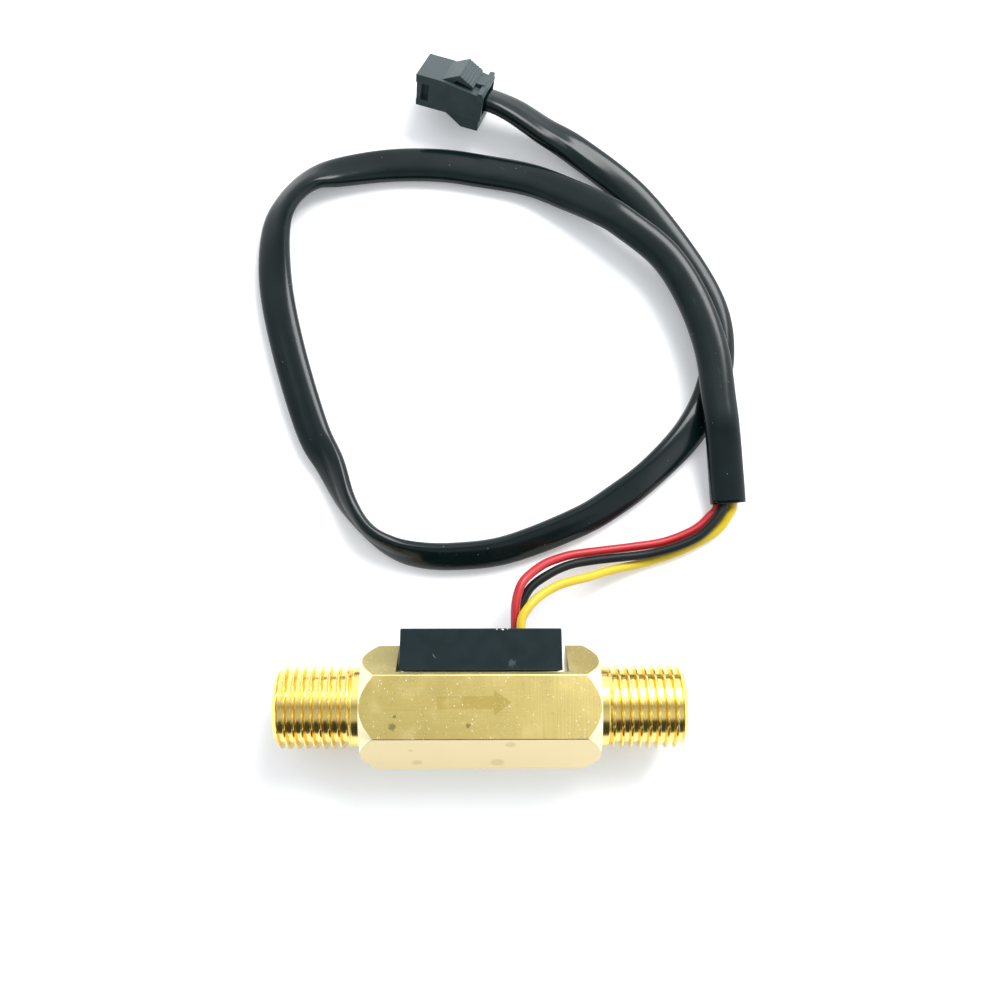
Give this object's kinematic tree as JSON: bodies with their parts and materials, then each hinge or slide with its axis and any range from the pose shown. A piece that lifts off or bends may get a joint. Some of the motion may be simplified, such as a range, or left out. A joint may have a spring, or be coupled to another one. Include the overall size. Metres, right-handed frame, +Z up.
{
  "type": "water flow sensor",
  "caption": "Inline brass turbine flow sensor with male threaded ends, a potted sensor case in a milled pocket, coloured wires, a flat black sleeve and a small plug.",
  "frame": {"origin": "middle of the flat of the hexagon that the body lies on", "axes": "+X along the bore, the way the water flows; +Y from the bore towards the sensor case and the lead; +Z up from the flat"},
  "size_m": [0.091, 0.135, 0.018],
  "materials": {
    "brass": "machined",
    "white_acetal": "satin",
    "blue_acetal": "satin",
    "ferrite": "matte",
    "stainless_steel": "ground",
    "case_plastic": "satin",
    "board_green": "satin",
    "chip_black": "matte",
    "ceramic": "satin",
    "resistor_black": "satin",
    "resin": "glossy",
    "red_insulation": "satin",
    "black_insulation": "satin",
    "yellow_insulation": "satin",
    "sleeve_vinyl": "glossy",
    "plug_nylon": "satin",
    "tinned_brass": "tinned"
  },
  "bodies": {
    "sensor_body": {"brass_body": "brass", "inlet_guide": "white_acetal", "outlet_support": "white_acetal", "inlet_snap_ring": "stainless_steel", "outlet_snap_ring": "stainless_steel", "hall_case": "case_plastic", "potting_resin": "resin", "circuit_board": "board_green", "hall_chip": "chip_black", "capacitor": "ceramic", "pull_up_resistor": "resistor_black", "red_wire": "red_insulation", "black_wire": "black_insulation", "yellow_wire": "yellow_insulation", "cable_sleeve": "sleeve_vinyl", "plug_housing": "plug_nylon", "red_terminal": "tinned_brass", "black_terminal": "tinned_brass", "yellow_terminal": "tinned_brass"},
    "rotor_body": {"rotor": "blue_acetal", "ring_magnet": "ferrite", "rotor_shaft": "stainless_steel"}
  },
  "joints": [
    {"name": "rotor_spin", "type": "hinge", "parent": "sensor_body", "child": "rotor_body", "pos_m": [0, 0, 0.009], "axis": [1, 0, 0], "continuous": true}
  ]
}
